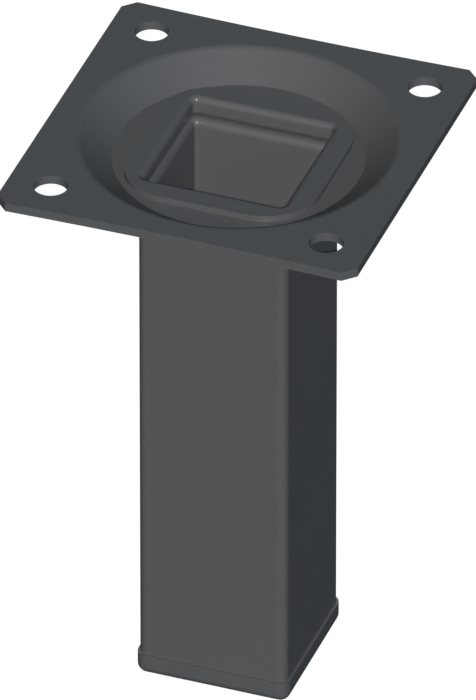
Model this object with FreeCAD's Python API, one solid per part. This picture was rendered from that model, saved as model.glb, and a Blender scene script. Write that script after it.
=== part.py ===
import FreeCAD, Part
import math
import os

# Short square furniture leg, in millimetres. The leg stands on its plastic foot, with Z up and
# the origin under the middle of the foot. The square tube carries a dished mounting plate at
# its upper end: the tube wall is folded out under the plate and flanged out over the dish floor.
# Sizes run outward from the tube: flange, dish floor, cone, flat land of the plate, plate edge.

# Whole leg
leg_height = 98.8

# Square tube
tube_side = 25.1
tube_wall = 1.0
tube_bore_corner_r = 0.5

# Formed end of the tube: bead under the plate, neck through it, flange over the dish floor
bead_slit = 0.55
bead_root_r = 0.3
bead_flat = 0.525
neck_widening = 0.3
neck_fit = 0.05
flange_thick = 1.0
flange_reach = 3.5
flange_corner_r = 9.0
flange_bend_r = 1.05

# Round dish pressed down in the plate
dish_floor_margin = 1.03
dish_depth = 3.9
dish_wall_angle = 36.0
dish_root_r = 0.3
dish_rim_under_r = 0.2

# Mounting plate
plate_thick = 1.5
plate_land = 4.08
plate_corner_cut = 2.0
plate_edge_bow = 0.45
screw_inset = 7.0
screw_hole_d = 5.5

# Plastic foot cap
cap_overhang = 0.4
cap_head_height = 3.9
cap_bottom_r = 1.7
cap_corner_blend = 0.07
plug_length = 15.0
plug_wall = 1.6
plug_sole = 2.0
plug_lead = 0.8
fin_depth = 2.0
fin_thick = 0.9
fin_pitch = 2.7
fin_lead = 0.35
fin_corner_gap = 0.5

# Tube, worked out from the sizes above
tube_half = tube_side / 2
bore_half = tube_half - tube_wall
corner_axis = bore_half - tube_bore_corner_r
neck_half = bore_half + neck_widening
neck_outer_half = neck_half + tube_wall
flange_half = tube_half + flange_reach
flange_corner_reach = flange_half * math.sqrt(2) - flange_corner_r * (math.sqrt(2) - 1)

# Dish and plate
dish_floor_r = flange_corner_reach + dish_floor_margin
dish_wall = math.radians(dish_wall_angle)
dish_edge_r = dish_rim_under_r + plate_thick
dish_rim = dish_floor_r + dish_depth / math.tan(dish_wall) + dish_edge_r * math.tan(dish_wall / 2)
plate_half = dish_rim + plate_land
screw_reach = plate_half - screw_inset

# Heights
plate_top = leg_height
plate_under = plate_top - plate_thick
dish_floor = plate_top - dish_depth
dish_under = dish_floor - plate_thick
flange_top = dish_floor + flange_thick

# Plug of the foot cap
core_half = bore_half - fin_depth
plug_corner_r = tube_bore_corner_r + fin_corner_gap
plug_top = cap_head_height + plug_length

up = FreeCAD.Vector(0, 0, 1)


def point(x, y, z):
    return FreeCAD.Vector(x, y, z)


def bend(centre_x, centre_z, radius, start, end):
    """Arc in the upright XZ plane, from one angle to the other in degrees."""
    angles = [math.radians(a) for a in (start, (start + end) / 2, end)]
    ends = [point(centre_x + radius * math.cos(a), 0, centre_z + radius * math.sin(a)) for a in angles]
    return Part.Arc(*ends).toShape()


def closed_face(pieces):
    """Face inside arcs and single points, which straight lines join in their order."""
    edges = []
    first = None
    last = None
    for piece in pieces:
        if isinstance(piece, tuple):
            start = point(piece[0], 0, piece[1])
            end = start
        else:
            start = piece.valueAt(piece.FirstParameter)
            end = piece.valueAt(piece.LastParameter)
        if last is not None:
            edges.append(Part.makeLine(last, start))
        if not isinstance(piece, tuple):
            edges.append(piece)
        if first is None:
            first = start
        last = end
    edges.append(Part.makeLine(last, first))
    return Part.Face(Part.Wire(edges))


def square_prism(half, corner_r, low, high):
    """Upright square bar with rounded corners, centred on the leg's axis."""
    bar = Part.makeBox(2 * half, 2 * half, high - low, point(-half, -half, low))
    uprights = [e for e in bar.Edges if abs(e.tangentAt(e.FirstParameter).z) > 0.5]
    return bar.makeFillet(corner_r, uprights)


def level_edges(solid, height):
    """Edges that lie at one height."""
    near = 0.001
    return [e for e in solid.Edges if abs(e.BoundBox.ZMin - height) < near and e.BoundBox.ZLength < near]


def plate_outline():
    """Plan of the plate: cut corners, straight sides, front and back edges curved in a little."""
    half = plate_half
    inner = half - plate_corner_cut
    right = [point(half, -inner, plate_under), point(half, inner, plate_under)]
    left = [point(-half, inner, plate_under), point(-half, -inner, plate_under)]
    back = [point(inner, half, plate_under), point(-inner, half, plate_under)]
    front = [point(-inner, -half, plate_under), point(inner, -half, plate_under)]
    back_middle = point(0, half - plate_edge_bow, plate_under)
    front_middle = point(0, plate_edge_bow - half, plate_under)
    edges = [
        Part.makeLine(right[0], right[1]),
        Part.makeLine(right[1], back[0]),
        Part.Arc(back[0], back_middle, back[1]).toShape(),
        Part.makeLine(back[1], left[0]),
        Part.makeLine(left[0], left[1]),
        Part.makeLine(left[1], front[0]),
        Part.Arc(front[0], front_middle, front[1]).toShape(),
        Part.makeLine(front[1], right[0]),
    ]
    return Part.Face(Part.Wire(edges))


def dish():
    """Round pressing at even thickness: flat rim, rolled edge, cone, tight root and flat floor."""
    outer_r = dish_rim + plate_land / 2
    root_x = dish_floor_r - dish_root_r * math.tan(dish_wall / 2)
    root_z = dish_floor + dish_root_r
    edge_z = plate_top - dish_edge_r
    tilt = dish_wall_angle
    section = closed_face([
        (0, dish_under),
        bend(root_x, root_z, dish_root_r + plate_thick, 270, 270 + tilt),
        bend(dish_rim, edge_z, dish_rim_under_r, 90 + tilt, 90),
        (outer_r, plate_under),
        (outer_r, plate_top),
        bend(dish_rim, edge_z, dish_edge_r, 90, 90 + tilt),
        bend(root_x, root_z, dish_root_r, 270 + tilt, 270),
        (0, dish_floor),
    ])
    return section.revolve(point(0, 0, 0), up, 360)


def mounting_plate():
    """Pressed plate with its dish, four screw holes and the square hole for the tube's neck."""
    plate = plate_outline().extrude(up * plate_thick)
    well = Part.makeCylinder(dish_rim + plate_land / 2, plate_thick, point(0, 0, plate_under))
    plate = plate.cut(well).fuse(dish()).removeSplitter()
    for x in (-screw_reach, screw_reach):
        for y in (-screw_reach, screw_reach):
            plate = plate.cut(Part.makeCylinder(screw_hole_d / 2, plate_thick, point(x, y, plate_under)))
    hole_half = neck_outer_half + neck_fit
    hole = square_prism(hole_half, hole_half - corner_axis, dish_under, dish_floor)
    return plate.cut(hole)


def tube_section():
    """Half section of the tube wall, measured outward from the axis of its corners.

    From the inside it runs up the bore, over the lower lip into the bead, back round the slit
    and over the upper lip into the neck, then out over the flange and down the outside."""
    bore = bore_half - corner_axis
    outer = tube_half - corner_axis
    neck = neck_half - corner_axis
    neck_outer = neck_outer_half - corner_axis
    flange_end = flange_half - corner_axis
    slit_top = dish_under - tube_wall
    slit_low = slit_top - bead_slit
    bead_under = slit_low - tube_wall
    lip_r = bead_root_r + tube_wall
    fold_x = outer + bead_root_r + bead_flat
    fold_middle = (slit_top + slit_low) / 2
    fold_outer_r = tube_wall + bead_slit / 2
    return closed_face([
        (bore, cap_head_height),
        bend(bore + lip_r, slit_low - lip_r, lip_r, 180, 90),
        bend(fold_x, fold_middle, bead_slit / 2, 270, 450),
        bend(neck + tube_wall, slit_top + tube_wall, tube_wall, 270, 180),
        bend(neck + flange_bend_r, flange_top - flange_bend_r, flange_bend_r, 180, 90),
        (flange_end, flange_top),
        (flange_end, dish_floor),
        (neck_outer, dish_floor),
        (neck_outer, dish_under),
        bend(fold_x, fold_middle, fold_outer_r, 90, -90),
        bend(outer + bead_root_r, bead_under - bead_root_r, bead_root_r, 90, 180),
        (outer, cap_head_height),
    ])


def square_tube():
    """One formed tube: its section runs along the four sides and turns round the four corners."""
    side = tube_section()
    side.translate(point(corner_axis, -corner_axis, 0))
    side = side.extrude(point(0, 2 * corner_axis, 0))
    corner = tube_section()
    corner.translate(point(corner_axis, corner_axis, 0))
    corner = corner.revolve(point(corner_axis, corner_axis, 0), up, 90)
    tube = side.fuse(corner)
    for turn in (90, 180, 270):
        more_side = side.copy()
        more_side.rotate(point(0, 0, 0), up, turn)
        more_corner = corner.copy()
        more_corner.rotate(point(0, 0, 0), up, turn)
        tube = tube.fuse([more_side, more_corner])
    tube = tube.removeSplitter()
    outline = square_prism(flange_half, flange_corner_r, dish_floor, flange_top)
    blank = square_prism(2 * flange_half, flange_corner_r, dish_floor, flange_top)
    return tube.cut(blank.cut(outline)).removeSplitter()


def cap_fin(low):
    """Thin lamella round the plug that presses on the tube's bore, chamfered on its upper edge."""
    fin = square_prism(bore_half, plug_corner_r, low, low + fin_thick)
    fin = fin.makeChamfer(fin_lead, level_edges(fin, low + fin_thick))
    return fin.cut(square_prism(core_half, plug_corner_r, low, low + fin_thick))


def foot_cap():
    """Moulded foot: rounded head under the tube and a hollow plug with lamellae inside it."""
    head = square_prism(tube_half + cap_overhang, cap_bottom_r + cap_corner_blend, 0, cap_head_height)
    head = head.makeFillet(cap_bottom_r, level_edges(head, 0))
    plug = square_prism(core_half, plug_corner_r, cap_head_height, plug_top)
    plug = plug.makeChamfer(plug_lead, level_edges(plug, plug_top))
    cap = head.fuse(plug)
    fin_count = int((plug_length - plug_lead) / fin_pitch)
    for number in range(1, fin_count + 1):
        cap = cap.fuse(cap_fin(cap_head_height + number * fin_pitch - fin_thick))
    pocket = square_prism(core_half - plug_wall, plug_corner_r, plug_sole, plug_top)
    return cap.removeSplitter().cut(pocket)


os.makedirs("parts", exist_ok=True)
nodes = {
    "mounting_plate": mounting_plate(),
    "square_tube": square_tube(),
    "foot_cap": foot_cap(),
}
for name, shape in nodes.items():
    solid = shape.Solids[0]
    solid.exportStep("parts/" + name + ".step")
    print(name, "solids", len(shape.Solids), "valid", solid.isValid(), "mm3", round(solid.Volume, 1))
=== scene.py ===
import bpy
import math
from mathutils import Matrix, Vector

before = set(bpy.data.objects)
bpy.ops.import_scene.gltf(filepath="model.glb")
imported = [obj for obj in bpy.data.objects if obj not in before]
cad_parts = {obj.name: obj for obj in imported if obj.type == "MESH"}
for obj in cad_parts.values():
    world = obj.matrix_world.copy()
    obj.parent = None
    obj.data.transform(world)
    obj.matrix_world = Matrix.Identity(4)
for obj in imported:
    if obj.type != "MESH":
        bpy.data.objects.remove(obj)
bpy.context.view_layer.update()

# Short square furniture leg: coated steel tube, dished mounting plate, plastic foot cap.
# The three shapes come from the CAD model. This script gives them their finishes, the
# floor, the lamps and the camera. Lengths are in metres unless a name says otherwise.

scene = bpy.context.scene
print("frame loaded:", ", ".join(sorted(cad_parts)))


def directionTo(azimuth, elevation):
    # unit vector from the leg, azimuth counted from the front (-Y) towards the right (+X)
    turn = math.radians(azimuth)
    lift = math.radians(elevation)
    return Vector((math.sin(turn) * math.cos(lift), -math.cos(turn) * math.cos(lift), math.sin(lift)))


def facing(direction):
    # rotation for a lamp or camera that stands out in the direction and looks back at the leg
    return direction.to_track_quat("Z", "Y").to_euler()


# Camera: a very long lens far away, so the view is nearly parallel, as in the photograph

photoView = {
    "azimuth": 20.017,
    "elevation": 34.991,
    "distance": 3.3981,
    "aim": (-0.0012984, 0.00338, 0.0551719),
    "lens": 1100,
    "sensor": 36,
    "nearClip": 0.1,
    "farClip": 10,
}


def placeCamera(view):
    data = bpy.data.cameras.new("photoCamera")
    data.lens = view["lens"]
    data.sensor_width = view["sensor"]
    data.clip_start = view["nearClip"]
    data.clip_end = view["farClip"]
    camera = bpy.data.objects.new("photoCamera", data)
    scene.collection.objects.link(camera)
    direction = directionTo(view["azimuth"], view["elevation"])
    camera.location = Vector(view["aim"]) + direction * view["distance"]
    camera.rotation_euler = facing(direction)
    scene.camera = camera


placeCamera(photoView)
print("camera placed")


# Node helpers

def addNode(tree, kind, settings=None, **sockets):
    # settings are the node's own properties, sockets are its inputs by name
    node = tree.nodes.new(kind)
    for name, value in (settings or {}).items():
        setattr(node, name, value)
    for name, value in sockets.items():
        node.inputs[name.replace("_", " ")].default_value = value
    return node


def mathNode(tree, operation, first, second=None, third=None, clamp=False):
    # each operand is a number or another node's output
    node = tree.nodes.new("ShaderNodeMath")
    node.operation = operation
    node.use_clamp = clamp
    for index, operand in enumerate((first, second, third)):
        if operand is None:
            continue
        if isinstance(operand, (int, float)):
            node.inputs[index].default_value = operand
        else:
            tree.links.new(operand, node.inputs[index])
    return node.outputs[0]


def newGroup(name, inputs, outputs):
    # shader node group whose inputs and outputs are named numbers and colours
    group = bpy.data.node_groups.new(name, "ShaderNodeTree")
    for socketName, value in inputs.items():
        kind = "NodeSocketColor" if isinstance(value, tuple) else "NodeSocketFloat"
        socket = group.interface.new_socket(socketName, in_out="INPUT", socket_type=kind)
        socket.default_value = value
    for socketName, kind in outputs.items():
        group.interface.new_socket(socketName, in_out="OUTPUT", socket_type=kind)
    return group, group.nodes.new("NodeGroupInput"), group.nodes.new("NodeGroupOutput")


def placeGroup(tree, group, values):
    node = tree.nodes.new("ShaderNodeGroup")
    node.node_tree = group
    for name, value in values.items():
        node.inputs[name].default_value = value
    return node


# Shared surface effects

noiseMiddle = 0.5    # noise and pit heights run from 0 to 1 about this


def noiseInto(tree, scaleOutput, detail, roughness):
    # noise in the leg's own coordinates, so it stays on the piece in every view
    where = tree.nodes.new("ShaderNodeTexCoord")
    noise = addNode(tree, "ShaderNodeTexNoise", Detail=detail, Roughness=roughness)
    tree.links.new(where.outputs["Object"], noise.inputs["Vector"])
    tree.links.new(scaleOutput, noise.inputs["Scale"])
    return noise.outputs["Fac"]


def scaleColour(tree, colour, level):
    scaled = tree.nodes.new("ShaderNodeVectorMath")
    scaled.operation = "SCALE"
    tree.links.new(colour, scaled.inputs[0])
    tree.links.new(level, scaled.inputs["Scale"])
    return scaled.outputs["Vector"]


def buildCoatSkin():
    # orange peel of a powder coat: long soft ripples with fine powder grain on top
    group, source, sink = newGroup(
        "coatSkin",
        {"Ripple Scale": 900.0, "Grain Scale": 5200.0, "Grain Share": 0.25},
        {"Height": "NodeSocketFloat", "Grain": "NodeSocketFloat"},
    )
    ripple = noiseInto(group, source.outputs["Ripple Scale"], detail=1.0, roughness=0.4)
    grain = noiseInto(group, source.outputs["Grain Scale"], detail=2.0, roughness=0.55)
    grainPart = mathNode(group, "MULTIPLY", grain, source.outputs["Grain Share"])
    height = mathNode(group, "ADD", ripple, grainPart)
    group.links.new(height, sink.inputs["Height"])
    group.links.new(grain, sink.inputs["Grain"])
    return group


def buildMouldGrain():
    # spark-eroded mould face: small shallow pits packed side by side, not all of one depth
    group, source, sink = newGroup(
        "mouldGrain",
        {"Pit Scale": 3200.0, "Pit Depth": 1.0, "Wave Scale": 500.0, "Wave Share": 0.5},
        {"Height": "NodeSocketFloat", "Grain": "NodeSocketFloat"},
    )
    where = group.nodes.new("ShaderNodeTexCoord")
    pits = addNode(group, "ShaderNodeTexVoronoi", {"feature": "SMOOTH_F1"}, Smoothness=0.6)
    group.links.new(where.outputs["Object"], pits.inputs["Vector"])
    group.links.new(source.outputs["Pit Scale"], pits.inputs["Scale"])
    pitHeight = mathNode(group, "MULTIPLY", pits.outputs["Distance"], source.outputs["Pit Depth"])
    wave = noiseInto(group, source.outputs["Wave Scale"], detail=1.0, roughness=0.5)
    height = mathNode(group, "MULTIPLY_ADD", wave, source.outputs["Wave Share"], pitHeight)
    group.links.new(height, sink.inputs["Height"])
    group.links.new(pits.outputs["Distance"], sink.inputs["Grain"])
    return group


def buildToneDrift():
    # slow change of tone and gloss over the piece, from film thickness and handling, with
    # the grain showing through as faint flecks
    group, source, sink = newGroup(
        "toneDrift",
        {
            "Base": (0.5, 0.5, 0.5, 1.0),
            "Grain": 0.5,
            "Fleck": 0.05,
            "Drift Scale": 60.0,
            "Drift": 0.05,
            "Gloss Middle": 0.45,
            "Gloss Spread": 0.06,
        },
        {"Color": "NodeSocketColor", "Roughness": "NodeSocketFloat"},
    )
    drifting = noiseInto(group, source.outputs["Drift Scale"], detail=3.0, roughness=0.5)
    cloud = mathNode(group, "SUBTRACT", drifting, noiseMiddle)
    speck = mathNode(group, "SUBTRACT", source.outputs["Grain"], noiseMiddle)
    clouded = mathNode(group, "MULTIPLY_ADD", cloud, source.outputs["Drift"], 1.0)
    level = mathNode(group, "MULTIPLY_ADD", speck, source.outputs["Fleck"], clouded)
    colour = scaleColour(group, source.outputs["Base"], level)
    both = mathNode(group, "ADD", cloud, speck)
    spread = source.outputs["Gloss Spread"]
    rough = mathNode(group, "MULTIPLY_ADD", both, spread, source.outputs["Gloss Middle"])
    group.links.new(colour, sink.inputs["Color"])
    group.links.new(rough, sink.inputs["Roughness"])
    return group


edgeSearch = {
    "samples": 4,
    "turnGain": 4.0,        # how soon a turned surface counts as a full edge
    "foldReach": 0.002,     # how near other walls mark an inner fold, which stays as it is
    "foldFade": 4.0,
}


def buildThinEdges():
    # outer edges, where powder pulls back and hands rub: a little paler and smoother, in patches
    group, source, sink = newGroup(
        "thinEdges",
        {
            "Color": (0.5, 0.5, 0.5, 1.0),
            "Roughness": 0.5,
            "Edge Width": 0.0004,
            "Patch Scale": 350.0,
            "Paler": 0.1,
            "Smoother": 0.1,
        },
        {"Color": "NodeSocketColor", "Roughness": "NodeSocketFloat"},
    )
    samples = edgeSearch["samples"]
    softened = addNode(group, "ShaderNodeBevel", {"samples": samples})
    group.links.new(source.outputs["Edge Width"], softened.inputs["Radius"])
    surface = group.nodes.new("ShaderNodeNewGeometry")
    match = group.nodes.new("ShaderNodeVectorMath")
    match.operation = "DOT_PRODUCT"
    group.links.new(softened.outputs["Normal"], match.inputs[0])
    group.links.new(surface.outputs["Normal"], match.inputs[1])
    turned = mathNode(group, "SUBTRACT", 1.0, match.outputs["Value"])
    edge = mathNode(group, "MULTIPLY", turned, edgeSearch["turnGain"], clamp=True)
    clear = addNode(group, "ShaderNodeAmbientOcclusion", {"samples": samples, "only_local": True})
    clear.inputs["Distance"].default_value = edgeSearch["foldReach"]
    outer = mathNode(group, "POWER", clear.outputs["AO"], edgeSearch["foldFade"])
    patches = noiseInto(group, source.outputs["Patch Scale"], detail=2.0, roughness=0.5)
    patchy = mathNode(group, "MULTIPLY", mathNode(group, "MULTIPLY", edge, outer), patches)
    level = mathNode(group, "MULTIPLY_ADD", patchy, source.outputs["Paler"], 1.0)
    colour = scaleColour(group, source.outputs["Color"], level)
    polish = mathNode(group, "MULTIPLY", patchy, source.outputs["Smoother"])
    rough = mathNode(group, "SUBTRACT", source.outputs["Roughness"], polish)
    group.links.new(colour, sink.inputs["Color"])
    group.links.new(rough, sink.inputs["Roughness"])
    return group


coatSkin = buildCoatSkin()
mouldGrain = buildMouldGrain()
toneDrift = buildToneDrift()
thinEdges = buildThinEdges()
print("surface effects built")


def finishMaterial(name, finish, skinGroup):
    # one Principled shader fed by the shared effects
    material = bpy.data.materials.new(name)
    material.use_nodes = True
    tree = material.node_tree
    shader = tree.nodes["Principled BSDF"]
    shader.inputs["IOR"].default_value = finish["ior"]
    shader.inputs["Coat Weight"].default_value = finish["clearShare"]
    shader.inputs["Coat Roughness"].default_value = finish["clearRoughness"]
    skin = placeGroup(tree, skinGroup, finish["skin"])
    drift = placeGroup(tree, toneDrift, finish["tone"])
    edges = placeGroup(tree, thinEdges, finish["edges"])
    bump = addNode(tree, "ShaderNodeBump", Strength=1.0, Distance=finish["relief"])
    tree.links.new(skin.outputs["Grain"], drift.inputs["Grain"])
    for channel in ("Color", "Roughness"):
        tree.links.new(drift.outputs[channel], edges.inputs[channel])
    tree.links.new(edges.outputs["Color"], shader.inputs["Base Color"])
    tree.links.new(edges.outputs["Roughness"], shader.inputs["Roughness"])
    tree.links.new(skin.outputs["Height"], bump.inputs["Height"])
    tree.links.new(bump.outputs["Normal"], shader.inputs["Normal"])
    return material


def dress(nodeName, material):
    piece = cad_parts[nodeName]
    if not piece.data.materials:
        piece.data.materials.append(material)
    for slot in piece.material_slots:
        slot.link = "OBJECT"
        slot.material = material


# Mounting plate: smooth satin anthracite powder coat

plateCoat = {
    "ior": 1.3,
    "clearShare": 0.4,
    "clearRoughness": 0.27,
    "relief": 0.00002,
    "tone": {
        "Base": (0.071, 0.077, 0.081, 1.0),
        "Fleck": 0.2,
        "Drift Scale": 45.0,
        "Drift": 0.13,
        "Gloss Middle": 0.58,
        "Gloss Spread": 0.1,
    },
    "skin": {"Ripple Scale": 850.0, "Grain Scale": 5200.0, "Grain Share": 0.22},
    "edges": {"Edge Width": 0.0004, "Patch Scale": 350.0, "Paler": 0.3, "Smoother": 0.2},
}
dress("mounting_plate", finishMaterial("plateCoat", plateCoat, coatSkin))
print("mounting plate coated")


# Square tube: the same powder, drawn a little smoother over the flat walls

tubeCoat = {
    "ior": 1.3,
    "clearShare": 0.4,
    "clearRoughness": 0.27,
    "relief": 0.000018,
    "tone": {
        "Base": (0.071, 0.077, 0.081, 1.0),
        "Fleck": 0.2,
        "Drift Scale": 38.0,
        "Drift": 0.12,
        "Gloss Middle": 0.58,
        "Gloss Spread": 0.1,
    },
    "skin": {"Ripple Scale": 760.0, "Grain Scale": 5000.0, "Grain Share": 0.22},
    "edges": {"Edge Width": 0.0004, "Patch Scale": 300.0, "Paler": 0.3, "Smoother": 0.2},
}
dress("square_tube", finishMaterial("tubeCoat", tubeCoat, coatSkin))
print("square tube coated")


# Foot cap: moulded plastic with a fine spark-eroded grain

capPlastic = {
    "ior": 1.26,
    "clearShare": 0.06,
    "clearRoughness": 0.32,
    "relief": 0.000028,
    "tone": {
        "Base": (0.069, 0.0745, 0.0785, 1.0),
        "Fleck": 0.16,
        "Drift Scale": 70.0,
        "Drift": 0.1,
        "Gloss Middle": 0.62,
        "Gloss Spread": 0.08,
    },
    "skin": {"Pit Scale": 3200.0, "Pit Depth": 1.0, "Wave Scale": 500.0, "Wave Share": 0.5},
    "edges": {"Edge Width": 0.0004, "Patch Scale": 500.0, "Paler": 0.25, "Smoother": 0.2},
}
dress("foot_cap", finishMaterial("capPlastic", capPlastic, mouldGrain))
print("foot cap finished")


# Floor and surround: white to the camera, dim to glossy rays so the dark coat keeps its depth

studio = {
    "floorHalf": 3.0,
    "floorDrop": 0.00002,    # hair gap, so the foot's underside and the floor don't share one plane
    "floorWhite": 1.006,     # what the camera sees of the lit floor, just at white
    "keyOnFloor": 0.82,      # light that the key lamp alone would give a white floor
    "nearTake": 0.4,         # share of lamp light and shadow that shows on the floor by the foot
    "farTake": 0.06,         # the same share further out, so the background stays white
    "takeFrom": 0.018,       # the share begins to fall this far from the leg's axis
    "takeTo": 0.1,           # and has fallen here
    "floorPale": 0.06,       # how strongly the floor throws lamp light back up at the leg
    "sheenLevel": 0.03,      # what glossy and transmission rays see of the white surround
    "roomTint": (0.35, 0.96, 1.0, 1.0),
    "roomLevel": 0.083,      # faint cool light from all round, which carries the shadows
}


def rayKinds(tree):
    # masks for camera rays and for glossy or transmission rays
    path = tree.nodes.new("ShaderNodeLightPath")
    shiny = mathNode(tree, "MAXIMUM", path.outputs["Is Glossy Ray"], path.outputs["Is Transmission Ray"])
    return path.outputs["Is Camera Ray"], shiny


def switchShader(tree, mask, plain, chosen):
    mix = tree.nodes.new("ShaderNodeMixShader")
    tree.links.new(mask, mix.inputs[0])
    tree.links.new(plain, mix.inputs[1])
    tree.links.new(chosen, mix.inputs[2])
    return mix.outputs[0]


def shadowShare(tree, values):
    # how much of the lamps' light and shadow the floor shows: most by the foot, little further out
    where = tree.nodes.new("ShaderNodeTexCoord")
    away = tree.nodes.new("ShaderNodeVectorMath")
    away.operation = "LENGTH"
    tree.links.new(where.outputs["Object"], away.inputs[0])
    share = tree.nodes.new("ShaderNodeMapRange")
    share.interpolation_type = "SMOOTHSTEP"
    share.inputs["From Min"].default_value = values["takeFrom"]
    share.inputs["From Max"].default_value = values["takeTo"]
    share.inputs["To Min"].default_value = values["nearTake"]
    share.inputs["To Max"].default_value = values["farTake"]
    tree.links.new(away.outputs["Value"], share.inputs["Value"])
    return share.outputs["Result"]


def paintFloor(values):
    # white with the leg's shadow to the camera, dim to glossy rays, clear when seen from below
    material = bpy.data.materials.new("floorPale")
    material.use_nodes = True
    tree = material.node_tree
    tree.nodes.clear()
    output = tree.nodes.new("ShaderNodeOutputMaterial")
    camera, shiny = rayKinds(tree)
    pale = values["floorPale"]
    take = shadowShare(tree, values)
    seen = addNode(tree, "ShaderNodeBsdfDiffuse")
    tree.links.new(take, seen.inputs["Color"])
    glow = addNode(tree, "ShaderNodeEmission")
    glowLevel = mathNode(tree, "MULTIPLY_ADD", take, -values["keyOnFloor"], values["floorWhite"])
    tree.links.new(glowLevel, glow.inputs["Strength"])
    both = tree.nodes.new("ShaderNodeAddShader")
    tree.links.new(seen.outputs[0], both.inputs[0])
    tree.links.new(glow.outputs[0], both.inputs[1])
    plain = addNode(tree, "ShaderNodeBsdfDiffuse", Color=(pale, pale, pale, 1))
    mirrored = addNode(tree, "ShaderNodeEmission", Strength=values["sheenLevel"])
    rest = switchShader(tree, shiny, plain.outputs[0], mirrored.outputs[0])
    above = switchShader(tree, camera, rest, both.outputs[0])
    side = tree.nodes.new("ShaderNodeNewGeometry")
    nothing = tree.nodes.new("ShaderNodeBsdfTransparent")
    whole = switchShader(tree, side.outputs["Backfacing"], above, nothing.outputs[0])
    tree.links.new(whole, output.inputs[0])
    return material


def layFloor(values):
    half = values["floorHalf"]
    low = -values["floorDrop"]
    corners = [(-half, -half, low), (half, -half, low), (half, half, low), (-half, half, low)]
    mesh = bpy.data.meshes.new("floor")
    mesh.from_pydata(corners, [], [(0, 1, 2, 3)])
    mesh.materials.append(paintFloor(values))
    floor = bpy.data.objects.new("floor", mesh)
    floor.visible_shadow = False    # the under lamp shines up through it
    scene.collection.objects.link(floor)


def lightRoom(values):
    world = bpy.data.worlds.new("room")
    scene.world = world
    world.use_nodes = True
    tree = world.node_tree
    tree.nodes.clear()
    output = tree.nodes.new("ShaderNodeOutputWorld")
    camera, shiny = rayKinds(tree)
    white = addNode(tree, "ShaderNodeBackground", Color=(1, 1, 1, 1), Strength=1.0)
    mirrored = addNode(tree, "ShaderNodeBackground", Color=(1, 1, 1, 1), Strength=values["sheenLevel"])
    room = addNode(tree, "ShaderNodeBackground", Color=values["roomTint"], Strength=values["roomLevel"])
    rest = switchShader(tree, shiny, room.outputs[0], mirrored.outputs[0])
    tree.links.new(switchShader(tree, camera, rest, white.outputs[0]), output.inputs[0])


layFloor(studio)
lightRoom(studio)
print("floor and surround laid")


# Lamps: the photograph shows no shadow on the leg, so its lamp stood beside the camera and the
# key does the same. A faint cool fill comes from the right, a low wide lamp lights the back, and
# one below the floor lights the undersides.

keyLamp = {
    "azimuth": 20,
    "elevation": 34.45,    # a little below the camera, so the plate's shadow hides behind the plate
    "strength": 4.63,
    "softness": 0.6,
    "tint": (1.0, 0.927, 0.922),
}
fillLamp = {
    "azimuth": 95,
    "elevation": 30,
    "strength": 0.22,
    "softness": 24,
    "tint": (0.1, 0.5, 1.0),
}
underLamp = {
    "azimuth": 200,
    "elevation": -60,
    "strength": 0.8,
    "softness": 20,
    "tint": (0.9, 0.98, 1.0),
}
backLamp = {
    "azimuth": 200,
    "distance": 0.5,
    "height": 0.04,
    "width": 0.5,
    "tall": 0.06,
    "strength": 3.6,
    "tint": (1.0, 1.0, 1.0),
}


def hangSun(name, lamp):
    data = bpy.data.lights.new(name, "SUN")
    data.energy = lamp["strength"]
    data.angle = math.radians(lamp["softness"])
    data.color = lamp["tint"]
    sun = bpy.data.objects.new(name, data)
    scene.collection.objects.link(sun)
    sun.rotation_euler = facing(directionTo(lamp["azimuth"], lamp["elevation"]))


def standBackLamp(lamp):
    # lower than the mounting plate, so it lights the tube from behind and not the dish
    data = bpy.data.lights.new("backLamp", "AREA")
    data.shape = "RECTANGLE"
    data.size = lamp["width"]
    data.size_y = lamp["tall"]
    data.energy = lamp["strength"]
    data.color = lamp["tint"]
    stand = bpy.data.objects.new("backLamp", data)
    scene.collection.objects.link(stand)
    away = directionTo(lamp["azimuth"], 0)
    stand.location = away * lamp["distance"] + Vector((0, 0, lamp["height"]))
    stand.rotation_euler = facing(away)
    stand.visible_camera = False


hangSun("keyLamp", keyLamp)
hangSun("fillLamp", fillLamp)
hangSun("underLamp", underLamp)
standBackLamp(backLamp)
print("lamps placed")


scene.view_settings.view_transform = "Standard"
